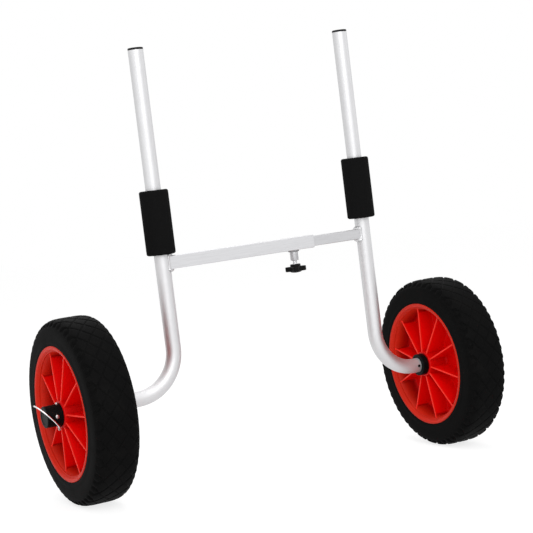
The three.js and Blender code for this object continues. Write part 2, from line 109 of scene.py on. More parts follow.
class Graph:  # a node tree, where one method makes every node
    def __init__(self, tree):
        self.tree = tree

    def connect(self, socket, value):
        if isinstance(value, Signal):
            self.tree.links.new(value.socket, socket)
        elif socket.type == "RGBA":
            socket.default_value = (*value, 1.0)
        else:
            socket.default_value = value

    def node(self, kind, settings=None, sockets=None, output=0):
        made = self.tree.nodes.new(kind)
        for name, value in (settings or {}).items():
            setattr(made, name, value)
        for name, value in (sockets or {}).items():
            self.connect(made.inputs[name], value)
        return Signal(self, made.outputs[output])

    def whiteRays(self):  # 1 for what the camera, gloss and glass see, 0 for light that falls on things
        camera, gloss, glass = [self.node("ShaderNodeLightPath", output=kind)
                                for kind in ("Is Camera Ray", "Is Glossy Ray", "Is Transmission Ray")]
        return camera.maths("MAXIMUM", camera.maths("MAXIMUM", camera, gloss), glass)


class Look(Graph):  # one material, from the values of its finish
    def __init__(self, name, values, metallic=0.0, share=1.0):
        self.material = bpy.data.materials.new(name)
        self.material.use_nodes = True
        super().__init__(self.material.node_tree)
        self.shader = self.tree.nodes["Principled BSDF"]
        self.values, self.rough = values, values["roughness"]
        self.colour = shade(values["colour"], share)
        self.put("Metallic", metallic)
        self.put("Roughness", self.rough)
        self.put("Base Color", self.colour)
        self.put("Specular IOR Level", values.get("gloss", 0.5))  # 0.5 is Blender's own
        self.place = self.node("ShaderNodeTexCoord", output="Object")

    def put(self, name, value):
        self.connect(self.shader.inputs[name], value)

    def aligned(self):  # Object coordinates turned to the cart's own axes, each times its stretch
        lean = float(np.arctan2(acrossCart[2], acrossCart[0]))
        level = self.node("ShaderNodeVectorRotate", {"rotation_type": "Y_AXIS"},
                          {"Vector": self.place, "Angle": lean})
        return self.node("ShaderNodeVectorMath", {"operation": "MULTIPLY"},
                         {0: level, 1: self.values["stretch"]})

    def noise(self, name, vector=None):  # the finish's noise of that name
        scale, detail, roughness = self.values[name][:3]
        return self.node("ShaderNodeTexNoise", {"noise_dimensions": "3D"},
                         {"Vector": vector or self.place, "Scale": scale, "Detail": detail,
                          "Roughness": roughness})

    def patches(self, name):  # noise as spots with soft edges
        return self.noise(name).ramp(*self.values[name][3:])

    def tint(self, mask, first, second):  # first where the mask is 0, second where it is 1
        return self.node("ShaderNodeMix", {"data_type": "RGBA"}, {0: mask, 6: first, 7: second}, 2)

    def stained(self, mask):  # the colour, and its stained share where the mask is 1
        return self.tint(mask, self.colour, shade(self.colour, self.values["stain"]))

    def finished(self, colour, roughness, height):  # the colour, the roughness and a bump of that height
        millimetres, strength = self.values["bump"]
        self.put("Base Color", colour)
        self.put("Roughness", roughness)
        self.put("Normal", self.node("ShaderNodeBump", {}, {"Height": height, "Strength": strength,
                                                            "Distance": millimetres / 1000}))
        return self


def shade(colour, share):
    # Each channel times the share
    return tuple(channel * share for channel in colour)


# Shapes
def goingRound(count):
    # count angles, evenly spaced over a whole turn
    return np.arange(count) / count * 2 * np.pi


def rise(value, start, over):
    # (value - start) / over, held between 0 and 1; it falls where over is negative
    return np.clip((value - start) / over, 0, 1)


def smooth(share):
    # s^2 * (3 - 2 s), which is level at both ends
    return share * share * (3 - 2 * share)


def rounded(corners, steps=4):
    # A polyline through (a, b, radius) corners. Each corner becomes an arc that touches both edges:
    # middle + (sin((1 - s) w) * first + sin(s w) * last) / sin w, with w the angle between first and last
    corners = [tuple(corner) + (0,) * (3 - len(corner)) for corner in corners]
    out = [np.array(corners[0][:2], float)]
    for before, here, after in zip(corners, corners[1:], corners[2:]):
        point, radius = np.array(here[:2], float), here[2]
        back, ahead = np.array(before[:2]) - point, np.array(after[:2]) - point
        back, ahead = back / np.linalg.norm(back), ahead / np.linalg.norm(ahead)
        half = np.arccos(np.clip(back @ ahead, -1, 1)) / 2
        if radius == 0 or half > 1.56:  # a plain point, or edges that are nearly in line
            out.append(point)
            continue
        reach = radius / np.tan(half)
        middle = point + (back + ahead) / np.linalg.norm(back + ahead) * radius / np.sin(half)
        first, last = point + back * reach - middle, point + ahead * reach - middle
        spread = np.arccos(np.clip(first @ last / radius ** 2, -1, 1))
        for share in np.linspace(0, 1, steps + 1):
            sweep = np.sin((1 - share) * spread) * first + np.sin(share * spread) * last
            out.append(middle + sweep / np.sin(spread))
    out.append(np.array(corners[-1][:2], float))
    return np.array(out)


def turned(profile, sides, axis="z"):
    # Each (radius, height) pair of the profile goes round the axis: radius * cos, radius * sin, height
    profile = np.asarray(profile, float)
    angle = goingRound(sides)
    first = profile[:, :1] * np.cos(angle)
    second = profile[:, :1] * np.sin(angle)
    height = np.repeat(profile[:, 1:2], sides, 1)
    order = {"z": (first, second, height), "x": (height, first, second), "y": (first, height, second)}
    return np.stack(order[axis], -1)


def ringProfile(bore, radius, start, end, edges):
    # A turned ring's section: from the middle of the bore over the start, the outside and the end, back to
    # the bore. The edges are the radii of its four corners
    middle, gap = (start + end) / 2, 0.5
    boreStart, outerStart, outerEnd, boreEnd = edges
    return rounded([(bore, middle), (bore, start, boreStart), (radius, start, outerStart),
                    (radius, end, outerEnd), (bore, end, boreEnd), (bore, middle + gap)])


def carried(path, across, up, section):
    # A closed section of (a, b) points carried along a path: path + a * across + b * up at each station
    return path[:, None] + section[..., 0, None] * across[:, None] + section[..., 1, None] * up[:, None]


def circle(radius, sides):
    # radius * (cos, sin) of evenly spaced angles
    angle = goingRound(sides)
    return radius * np.stack([np.cos(angle), np.sin(angle)], -1)


def roundedSquare(size, corner, steps=4):
    # Four flats and four arcs. A point close to both ends of each flat keeps the flats' shading flat
    edge, close = size / 2, 0.04
    outline = rounded([(edge, 0), (edge, edge, corner), (-edge, edge, corner), (-edge, -edge, corner),
                       (edge, -edge, corner), (edge, 0)], steps)[:-1]
    stride = np.roll(outline, -1, 0) - outline
    points = outline[:, None] + np.array([0, close, 1 - close])[:, None] * stride[:, None]
    kept = np.ones(points.shape[:2], bool)
    kept[np.linalg.norm(stride, axis=1) < 2 * corner, 1:] = False
    return points[kept]


def gridFaces(rows, columns, closedAlong=False, poles=(False, False)):
    # Quads between neighbours on a grid whose columns go round; a pole row shares one vertex
    index = np.arange(rows * columns).reshape(rows, columns)
    if poles[0]:
        index[0] = index[0, 0]
    if poles[1]:
        index[-1] = index[-1, 0]
    here, ahead = (index, np.roll(index, -1, 0)) if closedAlong else (index[:-1], index[1:])
    return np.stack([here, np.roll(here, -1, 1), np.roll(ahead, -1, 1), ahead], -1).reshape(-1, 4)


def onPole(row):
    # True where all points of the row lie within 1e-6 mm
    return bool(np.ptp(row, axis=0).max() < 1e-6)


def shell(points, closedAlong=False):
    # A closed surface from a grid of points; a row whose points all meet is a pole
    poles = (False, False) if closedAlong else (onPole(points[0]), onPole(points[-1]))
    return points.reshape(-1, 3), gridFaces(*points.shape[:2], closedAlong, poles)


def makePiece(name, shells, place, node, look, sharp=38.0, marks=None):
    # Joins the shells into one mesh in the model's frame, points its faces outwards and puts it in place of
    # its CAD node
    starts = np.cumsum([0] + [len(points) for points, quads in shells])
    quads = np.concatenate([quads + start for (points, quads), start in zip(shells, starts)])
    keep = quads != np.roll(quads, -1, 1)  # a quad that has a corner twice is a triangle
    used, corners = np.unique(quads[keep], return_inverse=True)
    vertices = place.toRow(np.concatenate([points for points, quads in shells]))[used]
    sizes = keep.sum(1)
    mesh = bpy.data.meshes.new(name)
    mesh.vertices.add(len(vertices))
    mesh.vertices.foreach_set("co", vertices.ravel())
    mesh.loops.add(len(corners))
    mesh.loops.foreach_set("vertex_index", corners.ravel())
    mesh.polygons.add(len(sizes))
    mesh.polygons.foreach_set("loop_start", np.cumsum(sizes) - sizes)
    mesh.update(calc_edges=True)
    mesh.validate()
    for mark, values in (marks or {}).items():
        mesh.attributes.new(mark, "FLOAT", "POINT").data.foreach_set("value", values.ravel()[used])
    piece = bpy.data.objects.new(name, mesh)
    bpy.context.scene.collection.objects.link(piece)
    bpy.context.view_layer.objects.active = piece
    bpy.ops.object.select_all(action="DESELECT")
    piece.select_set(True)
    bpy.ops.object.mode_set(mode="EDIT")
    bpy.ops.mesh.select_all(action="SELECT")
    bpy.ops.mesh.normals_make_consistent(inside=False)
    bpy.ops.object.mode_set(mode="OBJECT")
    mesh.shade_smooth()
    mesh.set_sharp_from_angle(angle=np.radians(sharp))
    mesh.materials.append(look.material)
    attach(piece, bodyOf[node])
    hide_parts(node)
    return piece


# Materials. A noise is its scale, detail and roughness, and patches also have their ramp's two ends. Stain
# is the share of the colour that the darkest or palest spots have. Bump is a height in mm and its strength
finish = {
    "tube": {"colour": (0.655, 0.655, 0.665), "roughness": 0.53, "lines": (900, 2, 0.6),
             "stretch": (1.0, 1.0, 0.03), "cloud": (55, 3, 0.55), "scuff": (260, 4, 0.7, 0.62, 0.80),
             "stain": 0.86, "bump": (0.02, 0.35)},
    "bar": {"colour": (0.675, 0.675, 0.69), "roughness": 0.42, "lines": (1400, 3, 0.6),
            "stretch": (0.02, 1.0, 1.0), "cloud": (40, 3, 0.5), "stain": 0.82, "bump": (0.03, 0.45)},
    "weld": {"colour": (0.60, 0.60, 0.61), "roughness": 0.40, "grain": (700, 4, 0.65),
             "soot": (120, 3, 0.6, 0.5, 0.78), "stain": 0.62, "bump": (0.12, 0.5)},
    "steel": {"colour": (0.80, 0.80, 0.81), "roughness": 0.2},
    # The pin's steel is darker, with a faint pink tint that is a painted reflection of the red rim
    "pin": {"colour": (0.50, 0.47, 0.47), "roughness": 0.34},
    # The rim's wall colour is painted sheen and shade, its crest colour a painted highlight on the ribs' edges and
    # the lip, and its corner colour painted shade in the pockets' corners and round the hub
    "rim": {"colour": (0.86, 0.0010, 0.0008), "wallSheenAndShade": (0.58, 0.020, 0.006), "crest": (1.0, 0.034, 0.022),
            "corner": (0.30, 0.0008, 0.0006), "roughness": 0.44, "gloss": 0.12, "spark": (1500, 2, 0.6),
            "flow": (22, 3, 0.5), "scuff": (180, 5, 0.7, 0.66, 0.82), "stain": 0.84, "bump": (0.05, 0.35)},
    "tyre": {"colour": (0.0040, 0.0040, 0.0040), "dusty": (0.0066, 0.0064, 0.0062), "roughness": 0.60,
             "gloss": 0.02, "grain": (1100, 3, 0.65), "dust": (45, 5, 0.65, 0.45, 0.75),
             "bump": (0.1, 0.5)},
    "foam": {"colour": (0.0036, 0.0036, 0.0036), "cell": (0.0080, 0.0080, 0.0082), "roughness": 0.88,
             "gloss": 0.04, "cellScale": 1150.0, "cloud": (130, 4, 0.6), "bump": (0.35, 0.6)},
    "cap": {"colour": (0.004, 0.004, 0.004), "roughness": 0.42, "gloss": 0.14, "grain": (900, 2, 0.6)},
    "nylon": {"colour": (0.0024, 0.0024, 0.0025), "roughness": 0.44, "gloss": 0.07, "grain": (900, 2, 0.6)},
    "knob": {"colour": (0.0026, 0.0026, 0.0026), "roughness": 0.42, "gloss": 0.09, "grain": (700, 2, 0.6)},
}
for slot in ("steel", "pin"):
    finish[slot].update(cloud=(300, 3, 0.6), stain=0.8, bump=(0.02, 0.4))
for slot in ("cap", "nylon", "knob"):
    finish[slot].update(cloud=(120, 4, 0.6), stain=1.9, bump=(0.06, 0.4))


def satinTube():
    # Drawn aluminium: scuffs * 0.5 + clouds * 0.35 stain it, and fine lines run along the posts
    look = Look("satinTube", finish["tube"], 1.0)
    drawn = look.noise("lines", look.aligned())  # drawn along the post
    cloud, scuff = look.noise("cloud"), look.patches("scuff")
    return look.finished(look.stained(scuff * 0.5 + cloud * 0.35),
                         look.rough - 0.06 + 0.1 * cloud + 0.05 * drawn, drawn)


def brushedBar(name, share=1.0):
    # Brushed aluminium, its colour times the share: the strongest lines and some of the clouds stain it
    look = Look(name, finish["bar"], 1.0, share)
    lines, cloud = look.noise("lines", look.aligned()), look.noise("cloud")  # brushed along the crossbar
    return look.finished(look.stained(lines.ramp(0.35, 0.75) * 0.6 + cloud * 0.3),
                         look.rough - 0.05 + 0.12 * lines + 0.05 * cloud, lines)


def weldMetal(name, share=1.0):
    # A bare weld, its colour times the share: soot in patches on a grainy skin
    look = Look(name, finish["weld"], 1.0, share)
    grain, soot = look.noise("grain"), look.patches("soot")
    return look.finished(look.stained(soot * 0.7), look.rough + 0.16 * grain + 0.1 * soot, grain)


def brightSteel(name, slot):
    # Smooth steel, darker where the clouds are dense, and rougher with them
    look = Look(name, finish[slot], 1.0)
    cloud = look.noise("cloud")
    dense = cloud.ramp(0.55, 0.8)
    return look.finished(look.stained(dense * 0.5), look.rough - 0.05 + 0.14 * cloud, cloud)


def redPlastic():
    # Red moulding: painted sheen and shade on the walls, painted highlights on the ribs' edges and the lip's inner
    # edge, and painted shade in the pockets' corners and round the hub
    values = finish["rim"]
    look = Look("redPlastic", values)
    spark, flow, scuff = look.noise("spark"), look.noise("flow"), look.patches("scuff")
    paintedSheen, paintedShade = [look.node("ShaderNodeAttribute", {"attribute_name": mark}, output="Fac")
                  for mark in ("paintedSheen", "paintedShade")]  # rimSurface says what these two hold
    web = look.stained(flow * 0.4)
    # Painted sheen and shade on the walls
    wall = look.tint(paintedSheen.ramp(0.0, 1.0) * (0.85 + 0.15 * flow), web, values["wallSheenAndShade"])
    # Painted highlight on the ribs' edges and the lip's inner edge
    shown = look.tint(paintedSheen.ramp(1.15, 1.9), wall, values["crest"])
    # Painted shade in the pockets' corners and on the hub, which the axle sleeve shades
    return look.finished(look.tint(paintedShade, shown, values["corner"]),
                         look.rough - 0.04 + 0.1 * flow + 0.14 * scuff, spark * 0.7 + flow * 0.3)


def tyreRubber():
    # Black rubber with a fine grain, greyer where dust lies in patches
    look = Look("tyreRubber", finish["tyre"])
    grain, dust = look.noise("grain"), look.patches("dust")
    return look.finished(look.tint(dust * 0.8, look.colour, look.values["dusty"]),
                         look.rough - 0.06 + 0.12 * grain + 0.1 * dust, grain)


def closedCellFoam():
    # Black foam: the distance from each cell's middle and slow clouds make it paler and uneven
    look = Look("closedCellFoam", finish["foam"])
    cells = look.node("ShaderNodeTexVoronoi", {"feature": "F1"},
                      {"Vector": look.place, "Scale": look.values["cellScale"]}, "Distance")
    cloud = look.noise("cloud")
    paler = cells.ramp(0.2, 0.7) * 0.5 + cloud * 0.4
    return look.finished(look.tint(paler, look.colour, look.values["cell"]),
                         look.rough - 0.06 + 0.14 * cloud, cells * 0.6 + cloud * 0.9)


def mouldedPlastic(name, slot):
    # Black plastic with the mould's fine grain, paler and rougher with the clouds
    look = Look(name, finish[slot])
    grain, cloud = look.noise("grain"), look.noise("cloud")
    uneven = cloud.ramp(0.4, 0.8)
    return look.finished(look.stained(uneven * 0.6), look.rough - 0.04 + 0.12 * cloud, grain)


looks = {
    "tube": satinTube(), "bar": brushedBar("brushedBar"), "innerBar": brushedBar("innerBar", 0.89),
    # The boss and its weld are the bar's and the weld's colours made darker: painted shade under the crossbar
    "weld": weldMetal("weldMetal"), "boss": brushedBar("bossShadedMetal", 0.72),
    "bossWeld": weldMetal("bossWeldShadedMetal", 0.55), "steel": brightSteel("brightSteel", "steel"),
    "pin": brightSteel("pinSteel", "pin"), "rim": redPlastic(), "tyre": tyreRubber(),
    "foam": closedCellFoam(), "cap": mouldedPlastic("capPlastic", "cap"),
    "nylon": mouldedPlastic("axleNylon", "nylon"), "knob": mouldedPlastic("knobPlastic", "knob"),
}
print("materials made:", len(looks))


# Posts: one bent tube on each side, with its plug and foam sleeve
post = {"radius": 12.7, "wall": 2.0, "bend": 72.0, "edge": 0.35, "stubEnd": 61.3, "sides": 72,
        "bendSteps": 30, "downSteps": 12, "outSteps": 6, "endRun": 1}
plug = {"radius": 12.65, "stem": 10.4, "depth": 14, "base": 0.15, "thick": 3.7, "rounding": 1.3,
        "crown": 0.35, "stemEdge": 1, "baseEdge": 0.2, "flatShare": 0.5, "flatCrown": 0.2, "flatBend": 3,
        "sides": 64}
foam = {"bore": 13.0, "radius": 24.0, "length": 105.8, "low": 1.4, "rounding": 3.6, "roundSteps": 8,
        "boreRun": 2, "boreSteps": 14, "sides": 72}


def postPath(top, end):
    # Straight down to the bend, a quarter circle of the bend's radius, straight out to the end
    turn = np.linspace(0, np.pi / 2, post["bendSteps"])
    bend = np.stack([post["bend"] * (1 - np.cos(turn)), 0 * turn, post["bend"] * (1 - np.sin(turn))], -1)
    heights = np.linspace(top - post["endRun"], post["bend"], post["downSteps"])[:-1]
    lengths = np.linspace(post["bend"], end - post["endRun"], post["outSteps"])[1:]
    down = np.stack([0 * heights, 0 * heights, heights], -1)
    out = np.stack([lengths, 0 * lengths, 0 * lengths], -1)
    edges = np.array([[0, 0, top], [0, 0, top - post["edge"]], [end - post["edge"], 0, 0], [end, 0, 0]])
    path = np.concatenate([edges[:2], down, bend, out, edges[2:]])
    facing = np.concatenate([np.zeros(2 + len(down)), turn, np.full(len(out) + 2, np.pi / 2)])
    return path, facing


def postTube(side):
    # A circle carried along the path, a little smaller at both ends, and the bore's circle carried back
    path, facing = postPath(cart["tubeRun"] - cart[side + "Reach"], cart[side + "Reach"] + post["stubEnd"])
    across = np.repeat([[0.0, 1.0, 0.0]], len(path), 0)
    up = np.stack([np.cos(facing), 0 * facing, np.sin(facing)], -1)
    outer = np.full(len(path), post["radius"])
    outer[[0, -1]] -= post["edge"]
    inner = np.full(len(path), post["radius"] - post["wall"])
    ring = circle(1.0, post["sides"])
    outside = carried(path, across, up, outer[:, None, None] * ring)
    inside = carried(path, across, up, inner[:, None, None] * ring)[::-1]
    return makePiece(side + "Post", [shell(np.concatenate([outside, inside]), True)], sidePlace[side],
                     side + "_post_tube", looks["tube"])


def postPlug(side):
    # A turned plug: a stem inside the tube, a brim on its end and a low crown, all from one rounded line
    radius, stem, depth, base = plug["radius"], plug["stem"], plug["depth"], plug["base"]
    shoulder = plug["thick"] - plug["crown"]
    flat = plug["thick"] - plug["crown"] * plug["flatCrown"]
    profile = rounded([(0, -depth), (stem, -depth, plug["stemEdge"]), (stem, base, 0),
                       (radius, base, plug["baseEdge"]), (radius, shoulder, plug["rounding"]),
                       (radius * plug["flatShare"], flat, plug["flatBend"]), (0, plug["thick"])])
    place = sidePlace[side].moved(0, 0, cart["tubeRun"] - cart[side + "Reach"])
    return makePiece(side + "PostPlug", [shell(turned(profile, plug["sides"]))], place, side + "_post_cap",
                     looks["cap"])


def foamSleeve(side):
    # A straight turned sleeve: its lower half has a rounded end, the upper half is its mirror image,
    # length - z, and the bore leads back
    bore, radius, length = foam["bore"], foam["radius"], foam["length"]
    lower = rounded([(bore, 0), (radius, 0, foam["rounding"]), (radius, length / 2)], foam["roundSteps"])
    upper = (lower * [1, -1] + [0, length])[::-1]
    heights = np.linspace(length - foam["boreRun"], foam["boreRun"], foam["boreSteps"])
    inner = np.stack([np.full(len(heights), bore), heights], -1)
    points = turned(np.concatenate([lower, upper[1:], inner]), foam["sides"])
    place = sidePlace[side].moved(0, 0, cart[side + "Drop"] + cart[side + "FoamBase"] - foam["low"])
    piece = makePiece(side + "FoamSleeve", [shell(points, True)], place, side + "_foam_sleeve",
                      looks["foam"], 50)
    return piece


for side in sidePlace:
    postTube(side)
    postPlug(side)
    foamSleeve(side)
print("posts made")


# Crossbar: the outer bar is welded to the left post, the inner one to the right
bar = {"outer": 22.0, "outerWall": 2.0, "inner": 17.4, "innerWall": 1.6, "corner": 1.3, "mouth": 88.0,
       "innerEnd": -62.0, "fit": 0.3, "edge": 0.3, "stations": 10}
bead = {"leg": 4.7, "sideLeg": 2.4, "flatness": 1.4, "ripple": 2.3, "rippleDepth": 0.08, "columns": 320,
        "cornerSteps": 6, "sides": 20, "sideFrom": 0.7, "sideOver": 0.3, "sideTo": 1.4, "sideFull": 0.9,
        "sideTuck": 0.06, "stand": 0.6, "sway": 0.35, "wander": ((0.05, 7.3, 0), (0.04, 3.1, 1))}


def squareTube(kind, postX, openX, look):
    # A rounded square section carried along the bar. Its fitted end follows the post:
    # x = postX + sqrt(r^2 - y^2)
    size, wall = bar[kind], bar[kind + "Wall"]
    towards = np.sign(openX - postX)
    outline = roundedSquare(size, bar["corner"])
    bore = roundedSquare(size - 2 * wall, bar["corner"] - wall / 2)
    shares = np.linspace(0, 1, bar["stations"])[:, None]

    def along(section, inset):
        start = postX + towards * np.sqrt((post["radius"] + bar["fit"]) ** 2 - section[:, 0] ** 2)
        x = start + shares * (openX - towards * inset - start)
        return np.stack([x, *np.broadcast_to(section.T[:, None], (2, *x.shape))], -1)

    lip = np.insert(outline * (1 - 2 * bar["edge"] / size), 0, openX, 1)[None]
    points = np.concatenate([along(outline, bar["edge"]), lip, along(bore, 0)[::-1]])
    return makePiece(kind + "Crossbar", [shell(points, True)], barPlace, kind + "_crossbar", look,
                     30)


def rippled(phase, depth):
    # depth * (|sin(pi * phase)| - 0.64), about zero on average because the mean of |sin| is 2 / pi
    return depth * (np.abs(np.sin(np.pi * phase)) - 0.64)


def crossbarWeld(side, size):
    # A bead carried along the line where the bar meets the post, swelling and shrinking with each ripple.
    # Its section is |a|^n + |b|^n = leg^n with n between a diamond's 1 and a circle's 2, so it fills the
    # corner with a flat face
    towards = 1 if side == "left" else -1
    outline = roundedSquare(size, bar["corner"], bead["cornerSteps"])
    closed = np.concatenate([outline, outline[:1]])
    length = np.concatenate([[0], np.cumsum(np.linalg.norm(np.diff(closed, axis=0), axis=1))])
    at = np.arange(bead["columns"]) / bead["columns"] * length[-1]
    y, z = np.interp(at, length, closed[:, 0]), np.interp(at, length, closed[:, 1])
    phase = at / length[-1] * round(length[-1] / bead["ripple"])
    onSide = rise(np.abs(y) / (size / 2), bead["sideFrom"], bead["sideOver"])
    onSide = onSide * rise(np.abs(z) / (size / 2), bead["sideTo"], -1) / bead["sideFull"]
    leg = bead["leg"] + (bead["sideLeg"] - bead["leg"]) * np.clip(onSide, 0, 1)
    wander = sum(depth * np.sin(phase * 2 * np.pi / every + start)
                 for depth, every, start in bead["wander"])
    leg = leg * (1 + wander + rippled(phase, bead["rippleDepth"]))
    swayed = bead["stand"] + bead["sway"] * np.sin(2 * np.pi * phase)
    x = towards * (np.sqrt(post["radius"] ** 2 - y ** 2) + swayed)
    path = np.stack([x, y * (1 - bead["sideTuck"] * onSide), z], -1)
    outward = np.stack([0 * y, y, z], -1) / np.hypot(y, z)[:, None]
    along = np.repeat([[1.0, 0.0, 0.0]], len(path), 0)
    ring = circle(1.0, bead["sides"])
    section = np.sign(ring) * np.abs(ring) ** (2 / bead["flatness"])
    points = carried(path, along, outward, leg[:, None, None] * section)
    place = barPlace.moved(-towards * cart["postGap"] / 2, 0, 0)
    return makePiece(side + "CrossbarWeld", [shell(points, True)], place, side + "_crossbar_weld",
                     looks["weld"], 60)


squareTube("outer", -cart["postGap"] / 2, bar["mouth"], looks["bar"])
squareTube("inner", cart["postGap"] / 2, bar["innerEnd"], looks["innerBar"])
crossbarWeld("left", bar["outer"])
crossbarWeld("right", bar["inner"])
print("crossbar made")


# Clamp under the outer bar
boss = {"x": 51.7, "radius": 7.0, "bore": 4.3, "length": 17.0, "edges": (0.4, 0.8, 0.1, 0.1), "gap": 0.3,
        "neck": 6.6, "sides": 56}
ringBead = {"radius": 7.6, "leg": 2.1, "ripples": 22, "rippleDepth": 0.1, "sway": 0.15, "waves": 5,
            "waveDepth": 0.06, "below": 0.3, "top": 0.25, "columns": 240, "sides": 18}
thread = {"radius": 4.0, "depth": 0.62, "pitch": 1.25, "tip": -10.5, "point": 1.6, "tipRadius": 2.8,
          "runOut": 2, "steepness": 1.15, "crest": 0.08, "foot": 0.3, "footRun": 0.5, "sides": 48,
          "perPitch": 10}
star = {"collar": 8.9, "collarHeight": 4.0, "collarEdge": 0.7, "fillet": 0.9, "height": 8.2, "reach": 16.7,
        "swing": 0.2, "edge": 1.1, "dome": 2.6, "socket": 8.0, "bore": 4.25, "chamfer": 0.3, "turn": -28.8,
        "sides": 144, "arc": (0, 22.5, 45, 67.5, 90), "domeArc": (12, 25, 40, 55, 70, 82),
        "underShares": (0.5, 0.9), "baseShares": (0.3, 0.99)}
clampPlace = barPlace.moved(boss["x"], 0, 0)
bossTop = -bar["outer"] / 2 - boss["gap"]
knobTop = bossTop - boss["length"] - boss["neck"]


def clampBoss():
    # A turned ring between the bar and the screw's neck
    profile = ringProfile(boss["bore"], boss["radius"], bossTop - boss["length"], bossTop, boss["edges"])
    return makePiece("clampBoss", [shell(turned(profile, boss["sides"]), True)], clampPlace, "clamp_boss",
                     looks["boss"])


def bossWeld():
    # A ring bead round the boss. Its thickness swells with each ripple and in slow waves, and its top is
    # cut flat
    phase = np.arange(ringBead["columns"]) / ringBead["columns"]
    waves = ringBead["waveDepth"] * np.sin(2 * np.pi * ringBead["waves"] * phase)
    leg = ringBead["leg"] * (1 + rippled(ringBead["ripples"] * phase, ringBead["rippleDepth"]) + waves)
    angle = phase * 2 * np.pi
    outward = np.stack([np.cos(angle), np.sin(angle), 0 * angle], -1)
    reach = ringBead["radius"] + ringBead["sway"] * np.sin(2 * np.pi * ringBead["ripples"] * phase)
    path = outward * reach[:, None] + [0, 0, bossTop - ringBead["below"]]
    up = np.repeat([[0.0, 0.0, 1.0]], len(path), 0)
    section = leg[:, None, None] * circle(1.0, ringBead["sides"])
    section[..., 1] = np.minimum(section[..., 1], ringBead["top"])
    return makePiece("clampBossWeld", [shell(carried(path, outward, up, section), True)], clampPlace,
                     "clamp_boss_weld", looks["bossWeld"], 60)


def clampScrew():
    # Round a cylinder the radius dips with the distance from a helix:
    # radius - depth * |2 frac(z / pitch - turn) - 1|, a little steeper than that so that crests and roots
    # are flat. The thread runs out before the tip
    core, threadEnd = thread["radius"] - thread["depth"], thread["tip"] - thread["point"]
    bottom = knobTop - star["socket"] + thread["foot"]
    heights = np.arange(bottom + thread["footRun"], threadEnd, thread["pitch"] / thread["perPitch"])
    turn = np.arange(thread["sides"]) / thread["sides"]
    saw = np.mod(heights[:, None] / thread["pitch"] - turn[None], 1)
    flank = np.clip(np.abs(2 * saw - 1) * thread["steepness"] - thread["crest"], 0, 1)
    fade = rise(heights, threadEnd, -thread["runOut"])[:, None]
    radius = (thread["radius"] - thread["depth"] * flank) * fade + core * (1 - fade)
    body = np.stack([radius * np.cos(2 * np.pi * turn), radius * np.sin(2 * np.pi * turn),
                     np.repeat(heights[:, None], thread["sides"], 1)], -1)
    foot = turned([(0, bottom), (core, bottom)], thread["sides"])
    tip = turned([(thread["tipRadius"], thread["tip"]), (0, thread["tip"])], thread["sides"])
    return makePiece("clampScrew", [shell(np.concatenate([foot, body, tip]))], clampPlace, "clamp_screw",
                     looks["steel"], 60)


def starKnob():
    # Rings of a radius and a height, from the socket over the collar and the star to the dome. The star's
    # radius is reach * (1 - swing + swing * cos 4a), and the round collar widens into it
    angle = goingRound(star["sides"])
    outline = star["reach"] * (1 - star["swing"] + star["swing"] * np.cos(4 * angle))
    collarRadius, collarEdge = star["collar"], star["collarEdge"]
    fillet, edge = star["fillet"], star["edge"]
    under = -star["collarHeight"]
    base = under - star["height"]
    hollow = star["reach"] * (1 - 2 * star["swing"])
    arc = np.radians(star["arc"])

    def ring(radius, height):
        return np.stack([radius + 0 * angle, np.full(len(angle), float(height))], -1)

    rows = [ring(0, -star["socket"]), ring(star["bore"], -star["socket"]),
            ring(star["bore"], -star["chamfer"]), ring(star["bore"] + star["chamfer"], 0)]
    rows += [ring(collarRadius - collarEdge + collarEdge * np.sin(a), -collarEdge + collarEdge * np.cos(a))
             for a in arc]
    rows += [ring(collarRadius, under + fillet)]
    rows += [ring(collarRadius + fillet * (1 - np.cos(a)), under + fillet - fillet * np.sin(a))
             for a in arc[1:]]
    rows += [ring(collarRadius + fillet + (outline - collarRadius - fillet) * share, under)
             for share in star["underShares"]]
    rows += [ring(outline + edge * np.sin(a), under - edge + edge * np.cos(a)) for a in arc]
    rows += [ring(outline + edge * np.cos(a), base + edge - edge * np.sin(a)) for a in arc]
    rows += [ring(outline + (hollow - outline) * share, base) for share in star["baseShares"]]
    rows += [ring(hollow * np.cos(a), base - star["dome"] * np.sin(a)) for a in np.radians(star["domeArc"])]
    rows += [ring(0, base - star["dome"])]
    rings = np.array(rows)
    spun = angle + np.radians(star["turn"])
    points = np.stack([rings[..., 0] * np.cos(spun), rings[..., 0] * np.sin(spun), rings[..., 1]], -1)
    return makePiece("starKnob", [shell(points)], clampPlace.moved(0, 0, knobTop), "clamp_knob",
                     looks["knob"])


clampBoss()
bossWeld()
clampScrew()
starKnob()
frame["nodes"]["clamp_pad"].data.materials.clear()
frame["nodes"]["clamp_pad"].data.materials.append(looks["nylon"].material)
print("clamp made")


